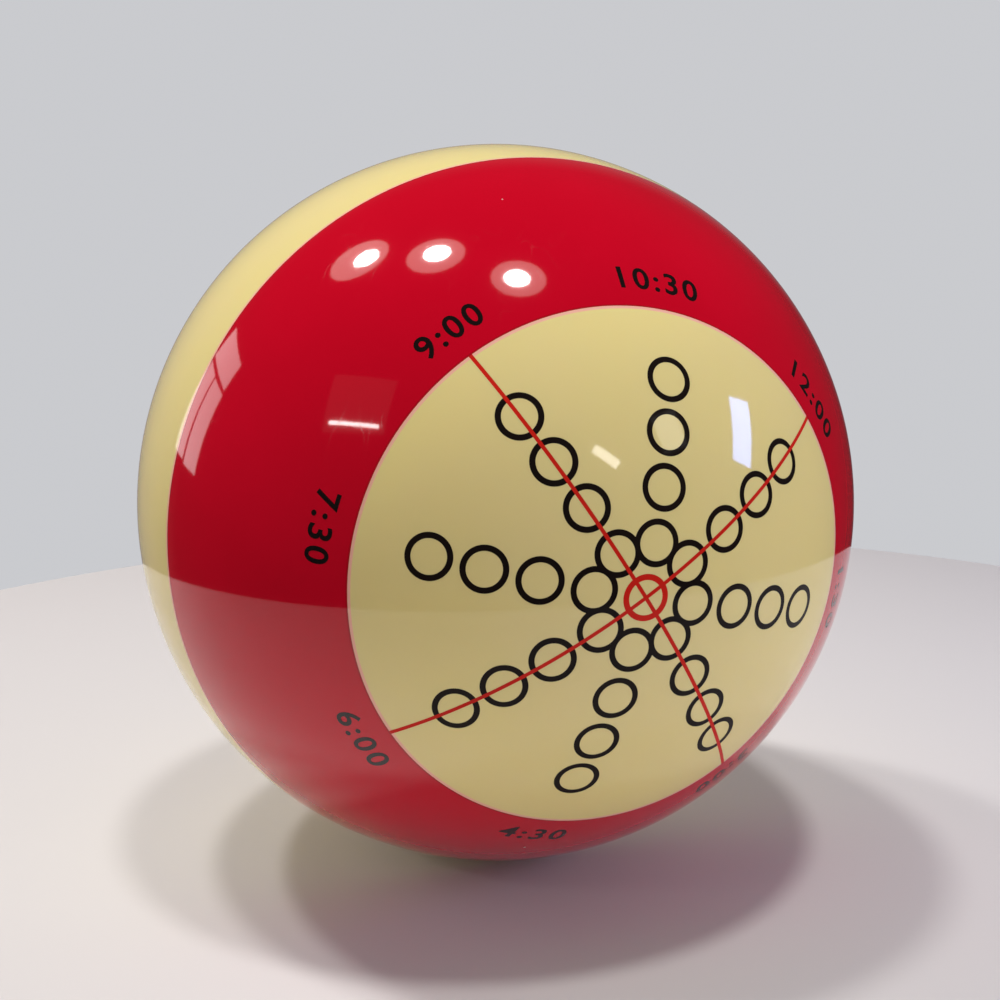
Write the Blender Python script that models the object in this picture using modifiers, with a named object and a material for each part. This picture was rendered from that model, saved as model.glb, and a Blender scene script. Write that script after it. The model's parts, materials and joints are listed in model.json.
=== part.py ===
"""A training cue ball: a cream resin casting with a red band and inlaid aiming marks.

Units are metres. The origin is the ball's centre, -Y points out of the middle of the
target face, +Z is up and +X is to the right of someone who looks at the face.

Places on the ball are given by two angles. The polar angle is measured from the middle
of the target face. The azimuth is measured round the face, clockwise from the top as
someone who looks at the face sees it.
"""

from math import cos, pi, radians, sin, sqrt

import bmesh
import bpy
from mathutils import Vector

# Overall size
BALL_DIAMETER = 0.05715  # a full-size pool ball, 2 1/4 inches

# Red band round the target face
FACE_EDGE = radians(40.7)  # polar angle of the band's front edge
BAND_EDGE = radians(76.9)  # polar angle of the band's back edge
BAND_DEPTH = 0.005

# Black rings: one spoke of them for each direction
DIRECTIONS = ("high", "high_right", "right", "low_right", "low", "low_left", "left", "high_left")
HIGH_AZIMUTH = radians(58.0)  # the ball rests with its high mark turned clockwise by this
RINGS_PER_SPOKE = 4
RING_STEP = radians(7.5)  # polar angle from one ring of a spoke to the next
RING_STROKE = 0.00041
RING_INLAY_DEPTH = 0.0006

# Red aiming lines and the red ring in the middle
LINE_WIDTH = 0.00027
LINE_INLAY_DEPTH = 0.0003

# Clearance between a casting or an inlay and the groove that holds it
BOND_GAP = 0.00005

# Facets
BALL_SEGMENTS = 40
RING_SEGMENTS = 16
ARC_STEP = radians(7.5)
CUT_ABOVE = 0.0003  # how far a cutter stands out of the ball's surface
MERGE = 0.000001

BALL_RADIUS = BALL_DIAMETER / 2
SPOKE_STEP = 2 * pi / len(DIRECTIONS)
BOND_ANGLE = BOND_GAP / BALL_RADIUS
# The middles of the innermost rings' strokes touch each other all the way round.
RING_RADIUS = BALL_RADIUS * sin(RING_STEP) * sin(SPOKE_STEP / 2)
# Lines run from one edge of the face to the other, through these directions.
LINE_SPOKES = {"low_high_line": "high", "left_right_line": "right"}


def clear_scene():
    for obj in list(bpy.data.objects):
        bpy.data.objects.remove(obj, do_unlink=True)


def new_collection(name, parent=None):
    collection = bpy.data.collections.new(name)
    (parent or bpy.context.scene.collection).children.link(collection)
    return collection


def resin(name, color, roughness):
    material = bpy.data.materials.new(name)
    material.use_nodes = True
    shader = material.node_tree.nodes["Principled BSDF"]
    shader.inputs["Base Color"].default_value = (*color, 1.0)
    shader.inputs["Roughness"].default_value = roughness
    shader.inputs["Metallic"].default_value = 0.0
    return material


def spoke_azimuth(direction):
    return HIGH_AZIMUTH + SPOKE_STEP * DIRECTIONS.index(direction)


def on_polar_frame(obj, face_frame):
    """Hangs a piece on the empty whose +Z is the target face's axis."""
    obj.parent = face_frame
    return obj


def add_object(name, data, collection, face_frame, material=None):
    obj = bpy.data.objects.new(name, data)
    collection.objects.link(obj)
    on_polar_frame(obj, face_frame)
    if material:
        data.materials.append(material)
    else:
        obj.hide_render = True
        obj.display_type = "WIRE"
    return obj


def place_on_ball(obj, polar, azimuth):
    """Puts an object's origin on the ball's surface with its +Z along the surface normal."""
    obj.location = BALL_RADIUS * Vector((sin(polar) * sin(azimuth), sin(polar) * cos(azimuth), cos(polar)))
    obj.rotation_euler = (-polar, 0.0, -azimuth)


def profile_mesh(name, points, closed):
    """A half section in the XZ plane, listed down its outer side."""
    mesh = bpy.data.meshes.new(name)
    links = [(i, i + 1) for i in range(len(points) - 1)]
    if closed:
        links.append((len(points) - 1, 0))
    mesh.from_pydata([(x, 0.0, z) for x, z in points], links, [])
    return mesh


def turn(obj, segments):
    screw = obj.modifiers.new("turned", "SCREW")
    screw.axis = "Z"
    screw.angle = 2 * pi
    screw.steps = segments
    screw.render_steps = segments
    screw.use_merge_vertices = True
    screw.merge_threshold = MERGE
    screw.use_smooth_shade = False
    return obj


def boolean(obj, name, operation, operand):
    """Cuts or joins with one object, or with every object of a collection."""
    modifier = obj.modifiers.new(name, "BOOLEAN")
    modifier.operation = operation
    modifier.solver = "EXACT"
    if isinstance(operand, bpy.types.Collection):
        modifier.operand_type = "COLLECTION"
        modifier.collection = operand
    else:
        modifier.object = operand


def arc(radius, start, end):
    """Points from one polar angle to another, both ends included, as (x, z)."""
    steps = max(1, round(abs(end - start) / ARC_STEP))
    angles = [start + (end - start) * i / steps for i in range(steps + 1)]
    return [(radius * sin(angle), radius * cos(angle)) for angle in angles]


# The two castings


def add_core(collection, face_frame, material):
    """The cream ball, with a groove turned round it for the band."""
    groove_radius = BALL_RADIUS - BAND_DEPTH - BOND_GAP
    front, back = FACE_EDGE - BOND_ANGLE, BAND_EDGE + BOND_ANGLE
    points = arc(BALL_RADIUS, 0.0, front)
    points += arc(groove_radius, front, back)
    points += arc(BALL_RADIUS, back, pi / 2)
    points += arc(BALL_RADIUS, pi / 2, pi)[1:]
    points[0] = (0.0, BALL_RADIUS)
    points[-1] = (0.0, -BALL_RADIUS)
    core = add_object("cream_core", profile_mesh("cream_core", points, False), collection, face_frame, material)
    return turn(core, BALL_SEGMENTS)


def add_band(collection, face_frame, material):
    """The red ring that fills the core's groove and carries on the ball's round surface."""
    points = arc(BALL_RADIUS, FACE_EDGE, BAND_EDGE)
    points += arc(BALL_RADIUS - BAND_DEPTH, BAND_EDGE, FACE_EDGE)
    band = add_object("red_band", profile_mesh("red_band", points, True), collection, face_frame, material)
    return turn(band, BALL_SEGMENTS)


# Rings: a turned square section whose top follows the ball


def ring_profile(stroke, depth, clearance=0.0):
    """The section of a ring, or of its cutter if there is a clearance."""
    outer = RING_RADIUS + stroke / 2 + clearance
    inner = RING_RADIUS - stroke / 2 - clearance
    bottom = -depth - clearance
    lift = CUT_ABOVE if clearance else 0.0

    def top(radius):
        return sqrt(BALL_RADIUS**2 - radius**2) - BALL_RADIUS + lift

    return [(outer, top(outer)), (outer, bottom), (inner, bottom), (inner, top(inner))]


def add_ring(name, profile, polar, azimuth, collection, face_frame, material=None):
    ring = add_object(name, profile_mesh(name, profile, True), collection, face_frame, material)
    place_on_ball(ring, polar, azimuth)
    return turn(ring, RING_SEGMENTS)


# Lines: a flat arc-shaped outline, extruded to the line's width


def arc_across(radius, end_angle):
    """An arc with the same points on both sides of the face's middle, and one in the middle."""
    return arc(radius, -end_angle, 0.0) + arc(radius, 0.0, end_angle)[1:]


def line_outline(depth, lift, end_angle):
    """A strip round part of a great circle, in the plane of that circle."""
    return arc_across(BALL_RADIUS + lift, end_angle) + arc_across(BALL_RADIUS - depth, end_angle)[::-1]


def extruded(name, outline, width):
    """A filled 2D curve, made a mesh so that it can be cut and joined."""
    curve = bpy.data.curves.new(name + "_outline", "CURVE")
    curve.dimensions = "2D"
    curve.fill_mode = "BOTH"
    curve.extrude = width / 2
    spline = curve.splines.new("POLY")
    spline.points.add(len(outline) - 1)
    for point, (x, y) in zip(spline.points, outline):
        point.co = (x, y, 0.0, 1.0)
    spline.use_cyclic_u = True
    source = bpy.data.objects.new(name + "_outline", curve)
    bpy.context.scene.collection.objects.link(source)
    bpy.context.view_layer.update()
    graph = bpy.context.evaluated_depsgraph_get()
    mesh = bpy.data.meshes.new_from_object(source.evaluated_get(graph))
    mesh.name = name
    bpy.data.objects.remove(source, do_unlink=True)
    bpy.data.curves.remove(curve)
    bm = bmesh.new()
    bm.from_mesh(mesh)
    bmesh.ops.remove_doubles(bm, verts=bm.verts, dist=MERGE)
    bmesh.ops.recalc_face_normals(bm, faces=bm.faces)
    bm.to_mesh(mesh)
    bm.free()
    return mesh


def add_line(name, azimuth, collection, face_frame, clearance=0.0, material=None):
    """A line right across the face. Its cutter runs on into the band's groove."""
    end_angle = FACE_EDGE + BOND_ANGLE if clearance else FACE_EDGE - BOND_ANGLE
    lift = CUT_ABOVE if clearance else 0.0
    outline = line_outline(LINE_INLAY_DEPTH + clearance, lift, end_angle)
    mesh = extruded(name, outline, LINE_WIDTH + 2 * clearance)
    line = add_object(name, mesh, collection, face_frame, material)
    line.rotation_euler = (pi / 2, 0.0, pi / 2 - azimuth)
    return line


def add_aiming_cross(collection, helpers, face_frame, material):
    """Two crossed lines and the ring in the middle, filled in one go, so one body."""
    high_low, left_right = (spoke_azimuth(direction) for direction in LINE_SPOKES.values())
    cross = add_line("aiming_cross", high_low, collection, face_frame, material=material)
    arm = add_line("left_right_arm", left_right, helpers, face_frame)
    hub = add_ring("centre_ring", ring_profile(RING_STROKE, LINE_INLAY_DEPTH), 0.0, high_low, helpers, face_frame)
    boolean(cross, "join_arm", "UNION", arm)
    boolean(cross, "join_centre_ring", "UNION", hub)
    return cross


def add_cross_cutters(helpers, face_frame):
    """The grooves for the aiming cross. The black rings are notched by the same lines."""
    cutters = {
        name: add_line(name + "_cutter", spoke_azimuth(direction), helpers, face_frame, clearance=BOND_GAP)
        for name, direction in LINE_SPOKES.items()
    }
    profile = ring_profile(RING_STROKE, LINE_INLAY_DEPTH, BOND_GAP)
    add_ring("centre_ring_cutter", profile, 0.0, spoke_azimuth("high"), helpers, face_frame)
    return cutters


def line_through(direction):
    """The aiming line that crosses this direction's rings, or None."""
    spokes = len(DIRECTIONS)
    for name, end in LINE_SPOKES.items():
        apart = (DIRECTIONS.index(direction) - DIRECTIONS.index(end)) % spokes
        if apart in (0, spokes // 2):
            return name
    return None


def add_tip_rings(collection, face_frame, material, cutters):
    """The second and later rings of each spoke, each an inlay of its own."""
    profile = ring_profile(RING_STROKE, RING_INLAY_DEPTH)
    for direction in DIRECTIONS:
        for number in range(2, RINGS_PER_SPOKE + 1):
            name = f"tip_ring_{direction}_{number}"
            polar = RING_STEP * number
            ring = add_ring(name, profile, polar, spoke_azimuth(direction), collection, face_frame, material)
            line = line_through(direction)
            if line:
                boolean(ring, "notch_for_line", "DIFFERENCE", cutters[line])


def add_rosette(collection, helpers, face_frame, material, cutters):
    """The innermost rings, which run into each other and so make one inlay."""
    profile = ring_profile(RING_STROKE, RING_INLAY_DEPTH)
    first, *others = DIRECTIONS
    rosette = add_ring(
        "inner_ring_rosette", profile, RING_STEP, spoke_azimuth(first), collection, face_frame, material
    )
    for direction in others:
        name = f"rosette_ring_{direction}"
        add_ring(name, profile, RING_STEP, spoke_azimuth(direction), helpers, face_frame)
    boolean(rosette, "join_rings", "UNION", helpers)
    for cutter in cutters.values():
        boolean(rosette, "notch_for_line", "DIFFERENCE", cutter)
    return rosette


def add_ring_cutters(helpers, face_frame):
    profile = ring_profile(RING_STROKE, RING_INLAY_DEPTH, BOND_GAP)
    for direction in DIRECTIONS:
        for number in range(1, RINGS_PER_SPOKE + 1):
            name = f"ring_cutter_{direction}_{number}"
            add_ring(name, profile, RING_STEP * number, spoke_azimuth(direction), helpers, face_frame)


def main():
    clear_scene()
    parts = new_collection("training_cue_ball")
    cutters = new_collection("cutters")
    core_cuts = new_collection("core_cuts", cutters)
    rosette_rings = new_collection("rosette_rings", cutters)
    cross_parts = new_collection("cross_parts", cutters)

    cream = resin("cream_resin", (0.75, 0.64, 0.30), 0.08)
    red = resin("red_resin", (0.62, 0.006, 0.022), 0.08)
    black = resin("black_resin", (0.010, 0.010, 0.012), 0.12)
    line_red = resin("line_red_resin", (0.72, 0.020, 0.020), 0.12)

    face_frame = bpy.data.objects.new("face_axis", None)
    face_frame.rotation_euler = (pi / 2, 0.0, 0.0)
    parts.objects.link(face_frame)

    core = add_core(parts, face_frame, cream)
    add_band(parts, face_frame, red)
    add_ring_cutters(core_cuts, face_frame)
    line_cutters = add_cross_cutters(core_cuts, face_frame)
    boolean(core, "grooves_for_marks", "DIFFERENCE", core_cuts)
    add_tip_rings(parts, face_frame, black, line_cutters)
    add_rosette(parts, rosette_rings, face_frame, black, line_cutters)
    add_aiming_cross(parts, cross_parts, face_frame, line_red)


main()
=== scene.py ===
# %% [markdown]
# # A practice cue ball in cast resin
#
# The real ball is one solid lump of polished phenolic resin. A cream casting carries a round
# target face, a red band is cast into a groove round that face, and thin black rings and red
# lines are let into the face. A player chalks the cue, strikes a ring and reads from the chalk
# mark where the tip landed.
#
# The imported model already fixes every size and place. This script reads them from it and makes
# the surface that people see: smooth castings that meet without a step, inlays that lie flush,
# printed hour numbers, and polished resin with the faint marks of play.

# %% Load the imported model
import json
from math import acos, atan2, cos, degrees, pi, radians, sin, sqrt

import bmesh
import bpy
import numpy as np
from mathutils import Matrix, Vector

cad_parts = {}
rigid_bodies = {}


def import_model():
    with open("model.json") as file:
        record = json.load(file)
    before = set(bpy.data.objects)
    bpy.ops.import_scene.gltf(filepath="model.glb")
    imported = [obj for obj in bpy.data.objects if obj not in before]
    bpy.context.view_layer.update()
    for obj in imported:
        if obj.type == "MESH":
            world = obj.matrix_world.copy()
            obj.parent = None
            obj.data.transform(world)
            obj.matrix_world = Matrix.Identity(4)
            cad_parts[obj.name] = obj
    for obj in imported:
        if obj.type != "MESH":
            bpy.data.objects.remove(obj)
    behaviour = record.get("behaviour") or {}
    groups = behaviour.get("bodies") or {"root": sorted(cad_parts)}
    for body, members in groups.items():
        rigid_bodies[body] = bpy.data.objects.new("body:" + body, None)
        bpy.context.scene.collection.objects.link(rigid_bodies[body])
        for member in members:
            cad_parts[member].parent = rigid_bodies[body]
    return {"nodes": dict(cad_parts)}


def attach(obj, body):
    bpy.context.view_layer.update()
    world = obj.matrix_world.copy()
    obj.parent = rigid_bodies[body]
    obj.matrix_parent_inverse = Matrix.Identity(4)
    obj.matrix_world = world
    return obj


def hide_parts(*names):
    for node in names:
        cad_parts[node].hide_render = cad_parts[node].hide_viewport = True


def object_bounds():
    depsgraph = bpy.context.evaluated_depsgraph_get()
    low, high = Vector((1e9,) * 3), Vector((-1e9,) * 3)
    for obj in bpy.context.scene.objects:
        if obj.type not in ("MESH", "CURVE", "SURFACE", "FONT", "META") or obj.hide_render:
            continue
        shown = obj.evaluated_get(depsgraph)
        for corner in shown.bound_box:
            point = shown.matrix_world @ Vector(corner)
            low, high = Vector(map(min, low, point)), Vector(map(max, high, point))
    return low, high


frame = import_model()
cad_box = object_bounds()

# %% [markdown]
# ## Sizes read from the model
#
# A ball has no edges to measure from, so places on it are angles. The polar angle counts from
# the middle of the target face, which looks along -Y. The azimuth counts clockwise from the top,
# as someone who looks at the face sees it. The band's outer points give the two angles where cream
# meets red, and the average of a ring's vertices lies on the line from the ball's centre through
# the ring, so it gives that ring's two angles.

# %% Measure the ball, the band and the rings
ball_radius = (cad_box[1].z - cad_box[0].z) / 2


def node_points(node):
    return np.array([v.co for v in frame["nodes"][node].data.vertices])


def node_direction(node):
    """The unit vector from the ball's centre to the middle of a CAD node."""
    return Vector(node_points(node).mean(axis=0)).normalized()


def polar_and_azimuth(direction):
    return acos(-direction.y), atan2(direction.x, direction.z) % (2 * pi)


band_points = node_points("red_band")
band_reach = np.linalg.norm(band_points, axis=1)
band_depth = ball_radius - band_reach.min()
band_skin = band_points[band_reach > ball_radius - band_depth / 2]
face_edge = acos(-band_skin[:, 1].min() / ball_radius)
band_edge = acos(-band_skin[:, 1].max() / ball_radius)
plain_polar, plain_azimuth = polar_and_azimuth(node_direction("tip_ring_high_left_4"))
ring_step = plain_polar / 4
spoke_step = pi / 4
spokes = ("high", "high_right", "right", "low_right", "low", "low_left", "left", "high_left")
spoke_azimuths = {name: plain_azimuth + spoke_step * (i + 1) for i, name in enumerate(spokes)}
print(f"radius {ball_radius * 1000:.3f} mm, band {band_depth * 1000:.2f} mm deep")
print(f"face edge {degrees(face_edge):.2f}, band edge {degrees(band_edge):.2f}")
print(f"ring step {degrees(ring_step):.2f}")

# %% [markdown]
# ## Directions on the ball
#
# Every mark sits on the ball the same way: its own Z points out of the surface, its Y points
# away from the middle of the face and its X runs clockwise. One matrix per mark does that, so
# a ring, a line or a number can be made flat and lying down, and then be carried to its place.

# %% Placement helpers


def outward(polar, azimuth):
    """The unit vector out of the ball's surface at a place."""
    return Vector((sin(polar) * sin(azimuth), -cos(polar), sin(polar) * cos(azimuth)))


def mark_matrix(polar, azimuth):
    normal = outward(polar, azimuth)
    away = Vector((cos(polar) * sin(azimuth), sin(polar), cos(polar) * cos(azimuth)))
    clockwise = away.cross(normal)
    rotation = Matrix((clockwise, away, normal)).transposed().to_4x4()
    return Matrix.Translation(normal * ball_radius) @ rotation


face_turn = Matrix.Rotation(pi / 2, 4, "X")  # takes +Z to the face's own direction, -Y
print("middle of the face:", tuple(round(x, 4) for x in mark_matrix(0, 0).translation))

# %% [markdown]
# ## Smooth castings from turned profiles
#
# A ball is turned, and so is a band let into it, so a half section and a Screw modifier make
# both. The real surface is ground and polished after casting, and light shows it as one perfect
# sphere. A mesh gets that look in two ways: enough facets for a round outline, and normals that
# point straight out from the centre wherever a face lies on the ball's skin. The second is set
# one by one on each face corner, because averaged normals would bend at the edge of every inlay,
# and a reflection that crosses the edge would break there.

# %% Turning, cutting and true normals
around = 240  # facets round the ball
skin_step = radians(1.5)  # polar angle between two rows of facets
skin_tolerance = ball_radius * 0.0004
weld = 1e-7
workshop = bpy.data.collections.new("workshop")
bpy.context.scene.collection.children.link(workshop)


def arc(radius, start, end, step=skin_step):
    count = max(1, round(abs(end - start) / step))
    angles = [start + (end - start) * i / count for i in range(count + 1)]
    return [(radius * sin(a), radius * cos(a)) for a in angles]


def new_piece(name, mesh, collection=None):
    piece = bpy.data.objects.new(name, mesh)
    (collection or bpy.context.scene.collection).objects.link(piece)
    return piece


def turned(name, section, segments, matrix, closed=True, collection=None):
    """A half section, listed down its outer side, turned about its own Z and put in place."""
    mesh = bpy.data.meshes.new(name)
    links = [(i, i + 1) for i in range(len(section) - 1)]
    if closed:
        links.append((len(section) - 1, 0))
    mesh.from_pydata([(x, 0.0, z) for x, z in section], links, [])
    piece = new_piece(name, mesh, collection)
    screw = piece.modifiers.new("turn", "SCREW")
    screw.steps = screw.render_steps = segments
    screw.use_merge_vertices = True
    screw.merge_threshold = weld
    piece.matrix_world = matrix
    return piece


def boolean(piece, operation, operand):
    cut = piece.modifiers.new(operation.lower(), "BOOLEAN")
    cut.operation, cut.solver = operation, "EXACT"
    if isinstance(operand, bpy.types.Collection):
        cut.operand_type, cut.collection = "COLLECTION", operand
    else:
        cut.object = operand


def settle(piece):
    """Applies the modifiers and the placement, so that the mesh lies in the frame's own axes."""
    bpy.context.view_layer.update()
    graph = bpy.context.evaluated_depsgraph_get()
    mesh = bpy.data.meshes.new_from_object(piece.evaluated_get(graph))
    mesh.transform(piece.matrix_world)
    mesh.name = piece.name
    piece.modifiers.clear()
    piece.data = mesh
    piece.matrix_world = Matrix.Identity(4)
    return piece


def polish(piece):
    """Gives the skin the normals of a true sphere, and keeps every hidden wall flat."""
    mesh = piece.data
    mesh.shade_smooth()
    points = np.empty(len(mesh.vertices) * 3)
    mesh.vertices.foreach_get("co", points)
    points = points.reshape(-1, 3)
    reach = np.linalg.norm(points, axis=1)
    on_skin = reach > ball_radius - skin_tolerance
    normals = []
    for face in mesh.polygons:
        is_skin = all(on_skin[v] for v in face.vertices)
        for v in face.vertices:
            normals.append(points[v] / reach[v] if is_skin else face.normal)
    mesh.normals_split_custom_set(normals)
    return piece


print("facets round the ball:", around)

# %% [markdown]
# ## The inlays
#
# A ring is a groove cut with a small round cutter and filled with black resin, then ground
# flush. Each one is modelled as that filling: a turned square section whose top follows the
# ball. The innermost rings touch, so their fillings run into each other and make one rosette.
# The red cross and its centre ring are cut after the black has set, and shallower. They pass
# over the black, which is why the red lines show unbroken across the rings.
#
# Each inlay is made twice: once as the filling, and once a hair bigger as the tool that cuts its
# groove. The hair is far thinner than anything the eye sees, and keeps two walls from lying in
# exactly the same place.

# %% Ring and line solids
ring_radius = ball_radius * sin(ring_step) * sin(spoke_step / 2)
mark_stroke = 0.00041
line_width = 0.00027
black_depth = 0.0006
red_depth = 0.0003
hair = 0.000004
cutter_lift = 0.0002
ring_segments = 72
line_steps = 96


def ring_solid(name, polar, azimuth, depth, growth=0.0, collection=None):
    outer = ring_radius + mark_stroke / 2 + growth
    inner = ring_radius - mark_stroke / 2 - growth
    lift = cutter_lift if growth else 0.0

    def top(radius):
        return sqrt(ball_radius**2 - radius**2) - ball_radius + lift

    floor = -depth - growth
    section = [(outer, top(outer)), (outer, floor), (inner, floor), (inner, top(inner))]
    return turned(name, section, ring_segments, mark_matrix(polar, azimuth), collection=collection)


def line_solid(name, azimuth, growth=0.0, collection=None):
    """A square section swept along the great circle from one edge of the face to the other."""
    end = face_edge + hair / ball_radius * (2 if growth else -1)
    half_width = line_width / 2 + growth
    top = ball_radius + (cutter_lift if growth else 0.0)
    bottom = ball_radius - red_depth - growth
    spoke, across = outward(pi / 2, azimuth), outward(pi / 2, azimuth + pi / 2)
    bm = bmesh.new()
    sections = []
    for i in range(line_steps + 1):
        angle = end * (2 * i / line_steps - 1)
        middle = Vector((0, -1, 0)) * cos(angle) + spoke * sin(angle)
        corners = [(top, half_width), (top, -half_width), (bottom, -half_width), (bottom, half_width)]
        sections.append([bm.verts.new((middle * r + across * w).normalized() * r) for r, w in corners])
    for before, after in zip(sections, sections[1:]):
        for k in range(4):
            bm.faces.new((before[k], before[k - 1], after[k - 1], after[k]))
    bm.faces.new(sections[0])
    bm.faces.new(sections[-1][::-1])
    bmesh.ops.recalc_face_normals(bm, faces=bm.faces)
    mesh = bpy.data.meshes.new(name)
    bm.to_mesh(mesh)
    bm.free()
    return new_piece(name, mesh, collection)


print(f"rings {ring_radius * 2000:.2f} mm across, stroke {mark_stroke * 1000:.2f} mm")

# %% Cutters for the grooves
groove_tools = bpy.data.collections.new("groove_tools")
workshop.children.link(groove_tools)
line_tools = {}
for name in ("high", "right"):
    line_tools[name] = line_solid("line_tool_" + name, spoke_azimuths[name], hair, groove_tools)
ring_solid("hub_tool", 0.0, 0.0, red_depth, hair, groove_tools)
for name in spokes:
    for number in range(1, 5):
        place = (ring_step * number, spoke_azimuths[name])
        ring_solid(f"ring_tool_{name}_{number}", *place, black_depth, hair, groove_tools)


# %% [markdown]
# ## The cream casting
#
# The core's section runs from the middle of the face round to the back, with a square groove
# turned in it where the band goes. One Boolean with the whole box of cutters opens all the
# grooves for the marks at once. Cutting them one after another leaves slivers where two grooves
# share a wall.

# %% Cream casting
groove_front = face_edge - hair / ball_radius
groove_back = band_edge + hair / ball_radius
core_section = arc(ball_radius, 0.0, groove_front)
core_section += arc(ball_radius - band_depth - hair, groove_front, groove_back)
core_section += arc(ball_radius, groove_back, pi)
core_section[0], core_section[-1] = (0.0, ball_radius), (0.0, -ball_radius)
cream_casting = turned("cream_casting", core_section, around, face_turn, closed=False)
boolean(cream_casting, "DIFFERENCE", groove_tools)
polish(settle(cream_casting))
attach(cream_casting, "root")
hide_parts("cream_core")
print("cream casting:", len(cream_casting.data.polygons), "faces")

# %% [markdown]
# ## The red band
#
# The band is its own casting: a ring with the ball's curve outside and the groove's walls on its
# other sides. It shares the core's facet count, so their edges meet point for point.

# %% Red band
band_section = arc(ball_radius, face_edge, band_edge)
band_section += arc(ball_radius - band_depth, band_edge, face_edge)
band_casting = turned("band_casting", band_section, around, face_turn)
polish(settle(band_casting))
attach(band_casting, "root")
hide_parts("red_band")
print("band casting:", len(band_casting.data.polygons), "faces")

# %% [markdown]
# ## The single rings
#
# Three rings on each spoke stand free of one another. The tools that cut the red lines also cut
# through the black where a line crosses a ring.

# %% Black ring inlays
ring_fillings = []
for name in spokes:
    for number in range(2, 5):
        filling = ring_solid(
            f"ring_filling_{name}_{number}", ring_step * number, spoke_azimuths[name], black_depth
        )
        for tool in line_tools.values():
            boolean(filling, "DIFFERENCE", tool)
        polish(settle(filling))
        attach(filling, "root")
        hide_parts(f"tip_ring_{name}_{number}")
        ring_fillings.append(filling)
print("single rings:", len(ring_fillings))

# %% [markdown]
# ## The rosette and the cross
#
# The eight innermost rings touch, and a union makes them one filling. The cross is a second
# union: two lines at right angles, and the small ring in the middle of the face.

# %% The rosette of touching rings
rosette_rings = bpy.data.collections.new("rosette_rings")
workshop.children.link(rosette_rings)
for name in spokes[1:]:
    ring_solid("rosette_" + name, ring_step, spoke_azimuths[name], black_depth, collection=rosette_rings)
rosette = ring_solid("rosette_filling", ring_step, spoke_azimuths[spokes[0]], black_depth)
boolean(rosette, "UNION", rosette_rings)
for tool in line_tools.values():
    boolean(rosette, "DIFFERENCE", tool)
polish(settle(rosette))
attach(rosette, "root")
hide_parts("inner_ring_rosette")
print("rosette:", len(rosette.data.polygons), "faces")

# %% The red cross and its centre ring
cross_parts = bpy.data.collections.new("cross_parts")
workshop.children.link(cross_parts)
line_solid("right_arm", spoke_azimuths["right"], collection=cross_parts)
ring_solid("hub", 0.0, 0.0, red_depth, collection=cross_parts)
cross_filling = line_solid("cross_filling", spoke_azimuths["high"])
boolean(cross_filling, "UNION", cross_parts)
polish(settle(cross_filling))
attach(cross_filling, "root")
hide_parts("aiming_cross")
print("cross:", len(cross_filling.data.polygons), "faces")

for tool in list(workshop.all_objects):
    bpy.data.objects.remove(tool)

# %% [markdown]
# ## Hour numbers on the band
#
# The band carries small black marks that tell a player where each spoke of rings lies. Here they
# are the hours of a clock, which players use for the same purpose: twelve o'clock is a high
# strike and nine o'clock a left one. The mark is a film of ink. Text becomes a flat outline, it
# is cut into small squares so that it can bend, and each point is carried to the ball by angle:
# across the text is azimuth, up the text is polar angle. Numbers on the lower half are turned
# round, so that each one reads upright from its own side.

# %% Printed numbers
number_gap = radians(3.0)  # from the face's edge to the near side of a number
number_height = radians(3.8)
ink_above, ink_below = 0.000008, 0.00002
slice_width = 0.12  # in heights of a number
hours = {
    "high": "12:00", "high_right": "1:30", "right": "3:00", "low_right": "4:30",
    "low": "6:00", "low_left": "7:30", "left": "9:00", "high_left": "10:30",
}
upside_down = ("low_right", "low", "low_left")


def flat_number(text):
    """Filled text, one unit high and centred, as a bmesh in the XY plane."""
    curve = bpy.data.curves.new("number", "FONT")
    curve.body, curve.align_x = text, "CENTER"
    curve.offset, curve.space_character, curve.resolution_u = 0.018, 1.2, 5
    source = new_piece("number", curve, workshop)
    bpy.context.view_layer.update()
    mesh = bpy.data.meshes.new_from_object(source.evaluated_get(bpy.context.evaluated_depsgraph_get()))
    bm = bmesh.new()
    bm.from_mesh(mesh)
    bpy.data.objects.remove(source)
    bmesh.ops.remove_doubles(bm, verts=bm.verts, dist=0.0005)
    low, high = min(v.co.y for v in bm.verts), max(v.co.y for v in bm.verts)
    middle = (min(v.co.x for v in bm.verts) + max(v.co.x for v in bm.verts)) / 2
    for v in bm.verts:
        v.co = Vector((v.co.x - middle, v.co.y - low, 0)) / (high - low)
    return bm


def slice_squares(bm):
    """Cuts the flat shape along the lines of squared paper, fine enough to bend round the ball."""
    for axis in (0, 1):
        low, high = min(v.co[axis] for v in bm.verts), max(v.co[axis] for v in bm.verts)
        cuts = round((high - low) / slice_width)
        normal = Vector((axis == 0, axis == 1, 0))
        for i in range(1, cuts):
            everything = bm.verts[:] + bm.edges[:] + bm.faces[:]
            place = normal * (low + (high - low) * i / cuts)
            bmesh.ops.bisect_plane(bm, geom=everything, plane_co=place, plane_no=normal)


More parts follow.
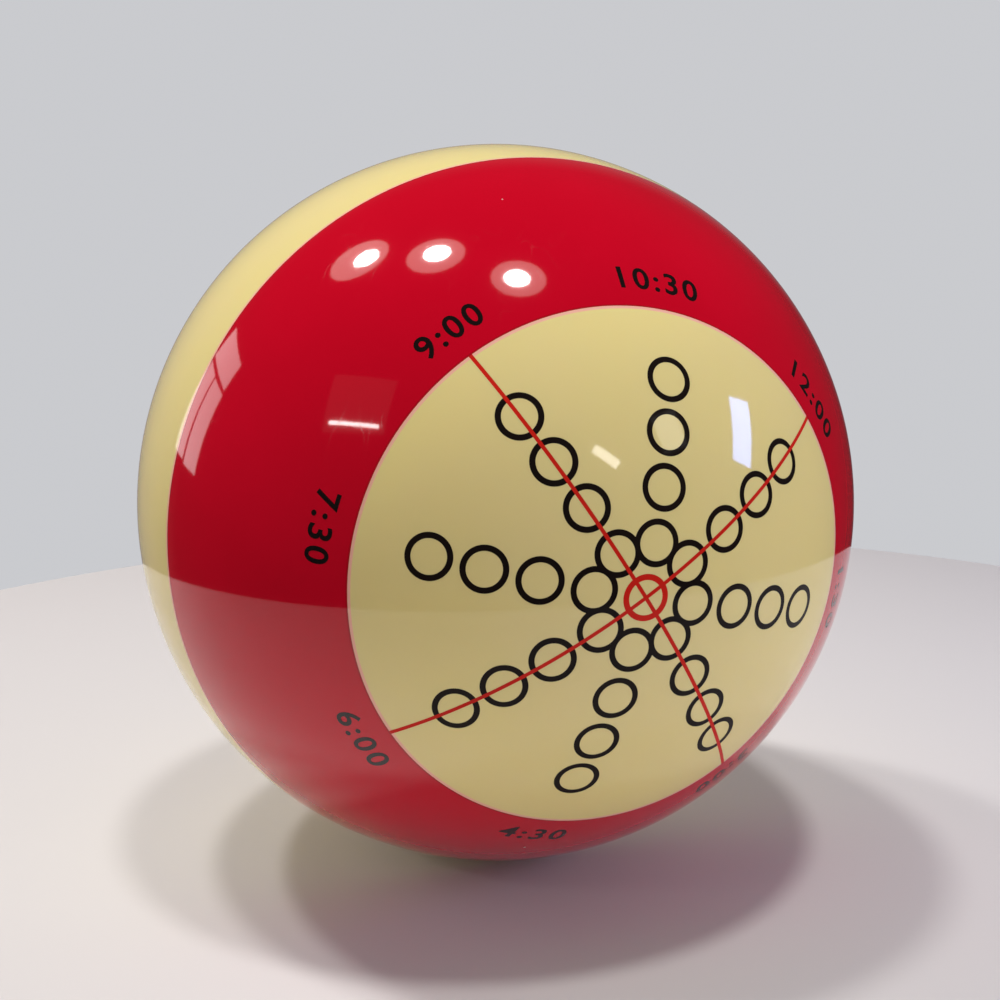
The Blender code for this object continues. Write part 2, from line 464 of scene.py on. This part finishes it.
def printed_number(name, text, azimuth, turned_round):
    bm = flat_number(text)
    slice_squares(bm)
    grown = bmesh.ops.extrude_face_region(bm, geom=bm.faces[:])
    floor = {v for v in grown["geom"] if isinstance(v, bmesh.types.BMVert)}
    height = number_height * ball_radius
    near = face_edge + number_gap
    ring = ball_radius * sin(near + number_height / 2)
    for v in bm.verts:
        x, y = v.co.x * height / ring, v.co.y * number_height
        reach = ball_radius + (-ink_below if v in floor else ink_above)
        polar = near + (number_height - y if turned_round else y)
        v.co = outward(polar, azimuth + (-x if turned_round else x)) * reach
    bmesh.ops.recalc_face_normals(bm, faces=bm.faces)
    if bm.calc_volume(signed=True) < 0:  # a film this thin can come out inside out
        bmesh.ops.reverse_faces(bm, faces=bm.faces)
    mesh = bpy.data.meshes.new(name)
    bm.to_mesh(mesh)
    open_edges = sum(len(e.link_faces) != 2 for e in bm.edges)
    bm.free()
    print(name, "faces:", len(mesh.polygons), "open edges:", open_edges)
    return polish(new_piece(name, mesh))


numbers = []
for name, text in hours.items():
    number = printed_number("hour_" + name, text, spoke_azimuths[name], name in upside_down)
    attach(number, "root")
    numbers.append(number)

# %% [markdown]
# ## Effects that the resins share
#
# Five finishes cover the ball, and the same things happen to all of them. Cast resin is never
# quite one colour, polishing leaves hair-thin swirls, cloth and chalk leave specks, and the skin
# changes a little where two castings meet. Each effect is one node group, and each material
# uses it with its own strength.

# %% Node helpers


def new_group(name, inputs, outputs):
    """A shader group with named sockets, and its two end nodes."""
    group = bpy.data.node_groups.new(name, "ShaderNodeTree")
    for direction, sockets in (("INPUT", inputs), ("OUTPUT", outputs)):
        for label, kind in sockets:
            group.interface.new_socket(name=label, in_out=direction, socket_type="NodeSocket" + kind)
    return group, group.nodes.new("NodeGroupInput"), group.nodes.new("NodeGroupOutput")


def add_node(tree, kind, inputs=(), **settings):
    """Makes a node, sets its properties, and fills sockets from values or from other sockets."""
    node = tree.nodes.new("ShaderNode" + kind)
    for key, value in settings.items():
        setattr(node, key, value)
    for key, value in dict(inputs).items():
        if isinstance(value, bpy.types.NodeSocket):
            tree.links.new(value, node.inputs[key])
        else:
            node.inputs[key].default_value = value
    return node


def math_node(tree, operation, a, b=0.0):
    return add_node(tree, "Math", {0: a, 1: b}, operation=operation).outputs[0]


def smooth_range(tree, value, low, high, to_low=0.0, to_high=1.0):
    """A soft step of a value from one bound to the other."""
    sockets = {"Value": value, "From Min": low, "From Max": high, "To Min": to_low, "To Max": to_high}
    return add_node(tree, "MapRange", sockets, interpolation_type="SMOOTHSTEP").outputs["Result"]


def object_place(tree):
    return add_node(tree, "TexCoord").outputs["Object"]


print("node helpers ready")

# %% Clouding: how the pigment drifts in the casting
clouding, given, result = new_group(
    "resin_clouding",
    [("Color", "Color"), ("Drift Color", "Color"), ("Amount", "Float"), ("Size", "Float")],
    [("Color", "Color")],
)
cloud_scale = math_node(clouding, "DIVIDE", 1.0, given.outputs["Size"])
clouds = add_node(
    clouding, "TexNoise", {"Vector": object_place(clouding), "Scale": cloud_scale, "Detail": 3.0}
)
drift = smooth_range(clouding, clouds.outputs["Fac"], 0.3, 0.7)
share = math_node(clouding, "MULTIPLY", drift, given.outputs["Amount"])
mixed = add_node(clouding, "MixRGB", {0: share, 1: given.outputs["Color"], 2: given.outputs["Drift Color"]})
clouding.links.new(mixed.outputs[0], result.inputs["Color"])
print("group:", clouding.name)

# %% Hairlines: what polishing and play leave in the gloss
hairlines, given, result = new_group(
    "polish_hairlines",
    [("Roughness", "Float"), ("Hairline Roughness", "Float"), ("Amount", "Float"), ("Fineness", "Float")],
    [("Roughness", "Float"), ("Height", "Float")],
)
stroke_share, patch_scale = 0.006, 260.0
place = object_place(hairlines)
strokes = []
for turn, stretch in (((0.3, 0.9, 0.2), 0.05), ((1.3, -0.5, 1.1), 0.07), ((-0.8, 0.4, 2.2), 0.04)):
    laid = add_node(hairlines, "Mapping", {"Vector": place, "Rotation": turn, "Scale": (1.0, 1.0, stretch)})
    grain = add_node(
        hairlines, "TexNoise", {"Vector": laid.outputs[0], "Scale": given.outputs["Fineness"], "Detail": 1.0}
    )
    off_middle = math_node(hairlines, "ABSOLUTE", math_node(hairlines, "SUBTRACT", grain.outputs["Fac"], 0.5))
    line = smooth_range(hairlines, off_middle, 0.0, stroke_share, 1.0, 0.0)
    patch_noise = add_node(
        hairlines, "TexNoise", {"Vector": laid.outputs[0], "Scale": patch_scale, "Detail": 2.0}
    )
    patch = smooth_range(hairlines, patch_noise.outputs["Fac"], 0.56, 0.66)
    strokes.append(math_node(hairlines, "MULTIPLY", line, patch))
scratched = math_node(hairlines, "MAXIMUM", strokes[0], strokes[1])
scratched = math_node(hairlines, "MAXIMUM", scratched, strokes[2])
scratched = math_node(hairlines, "MULTIPLY", scratched, given.outputs["Amount"])
rougher = add_node(
    hairlines,
    "MapRange",
    {"Value": scratched, "To Min": given.outputs["Roughness"], "To Max": given.outputs["Hairline Roughness"]},
)
hairlines.links.new(rougher.outputs["Result"], result.inputs["Roughness"])
hairlines.links.new(math_node(hairlines, "MULTIPLY", scratched, -1.0), result.inputs["Height"])
print("group:", hairlines.name)

# %% Specks: dust, lint and nicks too small to feel
specks, given, result = new_group(
    "chalk_specks",
    [("Spacing", "Float"), ("Speck Size", "Float"), ("Share", "Float")],
    [("Mask", "Float")],
)
wobble = add_node(specks, "TexNoise", {"Vector": object_place(specks), "Scale": 900.0, "Detail": 2.0})
bent = add_node(specks, "VectorMath", {0: wobble.outputs["Color"], "Scale": 0.0005}, operation="SCALE")
loose = add_node(specks, "VectorMath", {0: object_place(specks), 1: bent.outputs[0]}, operation="ADD")
cells = add_node(
    specks,
    "TexVoronoi",
    {"Vector": loose.outputs[0], "Scale": math_node(specks, "DIVIDE", 1.0, given.outputs["Spacing"])},
)
reach = math_node(specks, "DIVIDE", given.outputs["Speck Size"], given.outputs["Spacing"])
dot = smooth_range(specks, cells.outputs["Distance"], reach, math_node(specks, "MULTIPLY", reach, 0.6))
chance = add_node(specks, "SeparateColor", {"Color": cells.outputs["Color"]}).outputs[0]
chosen = math_node(specks, "LESS_THAN", chance, given.outputs["Share"])
specks.links.new(math_node(specks, "MULTIPLY", dot, chosen), result.inputs["Mask"])
print("group:", specks.name)

# %% Bond: the line where two castings meet
bond, given, result = new_group("casting_bond", [("Width", "Float")], [("Mask", "Float")])
place = object_place(bond)
length = add_node(bond, "VectorMath", {0: place}, operation="LENGTH").outputs["Value"]
forward = math_node(bond, "MULTIPLY", add_node(bond, "SeparateXYZ", {0: place}).outputs["Y"], -1.0)
polar = math_node(bond, "ARCCOSINE", math_node(bond, "DIVIDE", forward, length))
nearest = None
for edge in (face_edge, band_edge):
    apart = math_node(bond, "ABSOLUTE", math_node(bond, "SUBTRACT", polar, edge))
    nearest = apart if nearest is None else math_node(bond, "MINIMUM", nearest, apart)
distance = math_node(bond, "MULTIPLY", nearest, ball_radius)
inner = math_node(bond, "MULTIPLY", given.outputs["Width"], 0.75)
bond_mask = smooth_range(bond, distance, given.outputs["Width"], inner)
bond.links.new(bond_mask, result.inputs["Mask"])
print("group:", bond.name)

# %% [markdown]
# ## The resins
#
# Phenolic resin is dense and hard, bends light more than most plastics (an index near 1.55) and
# takes a polish like glass, so each finish is a Principled shader with a low roughness. The
# black and red fillings mirror far less, so their index is lower and they stay dark where the
# castings show the floor. The ink of the numbers lies on the band and mirrors as the band does.
# Cream resin lets light in a little way, which softens the edge of a shadow on it, so it alone
# has some subsurface scattering. The groups above change colour, gloss and relief from place to
# place, and what is the same all over stays on the shader.

# %% Resin materials
casting_index, filling_index = 1.55, 1.2
cloud_amount, cloud_size = 0.5, 0.012
speck_spacing, speck_size = 0.0045, 0.00013
speck_color = (0.75, 0.68, 0.62, 1)


def use_group(tree, group, **values):
    node = tree.nodes.new("ShaderNodeGroup")
    node.node_tree = group
    for label, value in values.items():
        node.inputs[label.replace("_", " ")].default_value = value
    return node


def blend_color(tree, share, below, above):
    return add_node(tree, "MixRGB", {0: share, 1: below, 2: above}).outputs[0]


def resin(
    name, color, drift, index, gloss=0.05, scratch=0.4, speck_share=0.03, bond_color=None, bond_width=0.0
):
    """One polished resin: clouded colour, hairlines in the gloss, specks, and a bond line."""
    material = bpy.data.materials.new(name)
    material.use_nodes = True
    tree = material.node_tree
    shader = tree.nodes["Principled BSDF"]
    shader.inputs["IOR"].default_value = index
    cloud = use_group(
        tree, clouding, Color=(*color, 1), Drift_Color=(*drift, 1), Amount=cloud_amount, Size=cloud_size
    )
    marks = use_group(
        tree, hairlines, Roughness=gloss, Hairline_Roughness=0.32, Amount=scratch, Fineness=420.0
    )
    dust = use_group(tree, specks, Spacing=speck_spacing, Speck_Size=speck_size, Share=speck_share)
    shown = cloud.outputs["Color"]
    if bond_color:
        seam = use_group(tree, bond, Width=bond_width)
        shown = blend_color(tree, seam.outputs["Mask"], shown, (*bond_color, 1))
    shown = blend_color(tree, dust.outputs["Mask"], shown, speck_color)
    tree.links.new(shown, shader.inputs["Base Color"])
    dull = math_node(tree, "MULTIPLY", dust.outputs["Mask"], 0.6)
    tree.links.new(math_node(tree, "MAXIMUM", marks.outputs["Roughness"], dull), shader.inputs["Roughness"])
    raised = math_node(tree, "MULTIPLY", dust.outputs["Mask"], 4.0)
    relief = math_node(tree, "ADD", marks.outputs["Height"], raised)
    bump = add_node(tree, "Bump", {"Height": relief, "Strength": 0.25, "Distance": 0.000004})
    tree.links.new(bump.outputs[0], shader.inputs["Normal"])
    return material


cream = resin(
    "cream_resin", (0.86, 0.725, 0.31), (0.88, 0.75, 0.28), casting_index,
    scratch=0.3, bond_color=(1.0, 0.52, 0.38), bond_width=0.00026,
)
cream_shader = cream.node_tree.nodes["Principled BSDF"]
cream_shader.inputs["Subsurface Weight"].default_value = 0.12
cream_shader.inputs["Subsurface Radius"].default_value = (1.0, 0.7, 0.35)
cream_shader.inputs["Subsurface Scale"].default_value = 0.0012
red = resin(
    "red_resin", (0.60, 0.0012, 0.017), (0.53, 0.001, 0.013), casting_index,
    scratch=0.35, speck_share=0.12, bond_color=(0.42, 0.003, 0.012), bond_width=0.00015,
)
black = resin(
    "black_resin", (0.010, 0.007, 0.006), (0.016, 0.010, 0.008), filling_index, gloss=0.07,
)
line_red = resin(
    "line_red_resin", (0.66, 0.020, 0.012), (0.56, 0.014, 0.009), filling_index, gloss=0.07,
)
ink = resin(
    "number_ink", (0.008, 0.005, 0.005), (0.012, 0.007, 0.006), casting_index, gloss=0.06,
)

finishes = {"cream_casting": cream, "band_casting": red, "cross_filling": line_red}
finishes.update({number.name: ink for number in numbers})
for piece in [cream_casting, band_casting, cross_filling, rosette, *ring_fillings, *numbers]:
    piece.data.materials.clear()
    piece.data.materials.append(finishes.get(piece.name, black))
print("materials:", [m.name for m in (cream, red, black, line_red, ink)])

# %% [markdown]
# ## The stage
#
# A polished ball is a mirror, so its picture is mostly a picture of what stands round it. It
# lies on a small round pale floor, whose edge shows as a curved line low on the band. Above that
# line the ball reflects a dim room, and the lamps and the window in it.

# %% Floor
floor_radius = 0.105
floor_middle = Vector((0.006, -0.0096, -ball_radius))
floor_thickness = 0.004
floor_section = [
    (0.0, 0.0), (floor_radius, 0.0), (floor_radius, -floor_thickness), (0.0, -floor_thickness)
]
floor = turned("floor", floor_section, 256, Matrix.Translation(floor_middle), closed=False)
settle(floor)
pale = bpy.data.materials.new("pale_floor")
pale.use_nodes = True
pale_shader = pale.node_tree.nodes["Principled BSDF"]
pale_shader.inputs["Base Color"].default_value = (0.64, 0.618, 0.61, 1)
pale_shader.inputs["Roughness"].default_value = 0.6
pale_shader.inputs["Specular IOR Level"].default_value = 0.25
floor.data.materials.append(pale)
print("floor:", floor_radius * 2000, "mm across")

# %% [markdown]
# ## The room's own light
#
# One backdrop does three jobs. As fill it is strongest level with the ball and weak overhead, so
# it lights the face and leaves the shadow on the floor deep. To the eye it is an even grey. In
# reflections it is nearly black, except straight behind the ball, where it gives the ball's
# outline a light rim.

# %% World
world = bpy.data.worlds.new("studio")
bpy.context.scene.world = world
world.use_nodes = True
sky = world.node_tree
backdrop = sky.nodes["Background"]
low_fill, wall_fill, roof_share, seen_strength = 0.08, 0.44, 0.15, 0.62
front_mirror, back_mirror = 0.03, 0.24
path = add_node(sky, "LightPath")
way = add_node(sky, "SeparateXYZ", {0: add_node(sky, "TexCoord").outputs["Generated"]})
walls = smooth_range(sky, way.outputs["Z"], -0.3, 0.1, low_fill, wall_fill)
roof = smooth_range(sky, way.outputs["Z"], 0.2, 0.9, 1.0, roof_share)
fill = math_node(sky, "MULTIPLY", walls, roof)
mirror = smooth_range(sky, way.outputs["Y"], 0.7, 0.95, front_mirror, back_mirror)
mirrored = math_node(sky, "MULTIPLY", mirror, path.outputs["Is Glossy Ray"])
scattered = math_node(sky, "MULTIPLY", fill, math_node(sky, "SUBTRACT", 1.0, path.outputs["Is Glossy Ray"]))
seen = math_node(sky, "MULTIPLY", path.outputs["Is Camera Ray"], seen_strength)
strength = math_node(sky, "MAXIMUM", math_node(sky, "MAXIMUM", mirrored, scattered), seen)
sky.links.new(strength, backdrop.inputs["Strength"])
tint = blend_color(sky, path.outputs["Is Camera Ray"], (1.0, 0.90, 0.95, 1), (0.95, 0.96, 1.0, 1))
sky.links.new(tint, backdrop.inputs["Color"])
print("world strengths:", low_fill, wall_fill, seen_strength, front_mirror, back_mirror)

# %% [markdown]
# ## Lamps and window
#
# Each light is placed by the direction it is seen in from the ball: an angle round, counted from
# the front, and an angle up. Three round lamps hang above, each a bright bulb in front of a dimmer
# shade. A window with bars stands behind on the left, and beside it a strip light with a faint
# glow. Three openings on the right show in the target face, and the tallest lets in blue
# daylight. Three broad panels only soften the light, and no reflection shows them.

# %% Lights
light_distance = 1.2


def light_direction(turn, rise):
    turn, rise = radians(turn), radians(rise)
    return Vector((sin(turn) * cos(rise), -cos(turn) * cos(rise), sin(rise)))


def area_light(name, turn, rise, wide, high, radiance, color, roll=0.0, round_one=False, behind=1.0):
    """A light that looks this many degrees wide and high from the ball, and this bright."""
    distance = light_distance * behind
    data = bpy.data.lights.new(name, "AREA")
    data.shape = "DISK" if round_one else "RECTANGLE"
    data.size = 2 * distance * sin(radians(wide / 2))
    data.size_y = 2 * distance * sin(radians(high / 2))
    area = data.size * data.size_y * (pi / 4 if round_one else 1)
    data.energy = radiance * pi * area
    data.color = color
    lamp = bpy.data.objects.new(name, data)
    bpy.context.scene.collection.objects.link(lamp)
    toward = light_direction(turn, rise)
    lamp.location = toward * distance
    lamp.rotation_euler = toward.to_track_quat("Z", "Y").to_euler()
    lamp.rotation_euler.rotate_axis("Z", radians(roll))
    return lamp


neutral, warm, cool, pink = (1.0, 0.99, 0.97), (1.0, 0.95, 0.88), (0.27, 0.42, 1.0), (1.0, 0.93, 0.94)
shade_width = 13.5
lamps = {
    1: ((-137.8, 58.2), (-138.2, 56.4), 5.5),  # bulb, shade, width of the bulb
    2: ((-136.2, 75.4), (-133.1, 75.3), 6.0),
    3: ((22.6, 82.4), (24.8, 82.2), 6.0),
}
for number, (bulb, shade, width) in lamps.items():
    area_light(f"lamp_{number}", *bulb, width, width, 118.0, neutral, round_one=True)
    area_light(
        f"lamp_shade_{number}", *shade, shade_width, shade_width, 2.4, warm, round_one=True, behind=1.02
    )
window_panes = {
    "window_top": (-134.0, 22.0, 14.2, 6.4),
    "window_left": (-138.1, 9.7, 6.2, 16.4),
    "window_right": (-130.2, 9.5, 7.6, 16.8),
}
for name, (turn, rise, wide, high) in window_panes.items():
    area_light(name, turn, rise, wide, high, 2.6, pink)
area_light("strip_light", -70.5, 30.6, 16.0, 1.0, 22.0, neutral, roll=11.0)
area_light("strip_glow", -72.0, 36.0, 20.0, 16.0, 0.13, neutral, roll=14.0, behind=1.02)
area_light("front_opening", 15.4, 24.1, 8.6, 2.8, 9.0, warm, roll=-44.0)
area_light("side_opening", 39.7, 25.9, 8.5, 10.0, 2.2, neutral)
area_light("tall_opening", 66.5, 17.1, 7.2, 15.5, 15.0, cool, roll=-36.0)
soft_panels = {
    "front_panel": (30.0, 12.0, 60.0, 50.0, 0.35),
    "side_panel": (75.0, 8.0, 50.0, 40.0, 1.3),
    "back_panel": (-155.0, 8.0, 40.0, 36.0, 1.3),
}
for name, (turn, rise, wide, high, radiance) in soft_panels.items():
    panel = area_light(name, turn, rise, wide, high, radiance, pink)
    panel.visible_glossy = False

# %% [markdown]
# ## Camera
#
# The camera looks from the front left and a little above. It stands close, about five ball
# radii away, so it sees less than half of the ball.

# %% Camera
camera_turn, camera_rise, camera_reach = -20.48, 13.77, 4.983  # degrees, degrees, ball radii
aim = Vector((0.012, -0.003, 0.006)) * ball_radius
camera_data = bpy.data.cameras.new("camera")
camera_data.lens, camera_data.sensor_width = 63.0, 36.0
camera_data.clip_start, camera_data.clip_end = 0.005, 20.0
camera = bpy.data.objects.new("camera", camera_data)
bpy.context.scene.collection.objects.link(camera)
camera.location = light_direction(camera_turn, camera_rise) * ball_radius * camera_reach
camera.rotation_euler = (aim - camera.location).to_track_quat("-Z", "Y").to_euler()
bpy.context.scene.camera = camera
bpy.context.scene.view_settings.view_transform = "Standard"
print("camera at", [round(x * 1000, 1) for x in camera.location], "mm")

# %% [markdown]
# ## The end
#
# The empty workshop collection, which held the cutters and the helper pieces, is removed. The
# finer ball has to stay inside the first.

# %% The end
bpy.data.collections.remove(workshop)
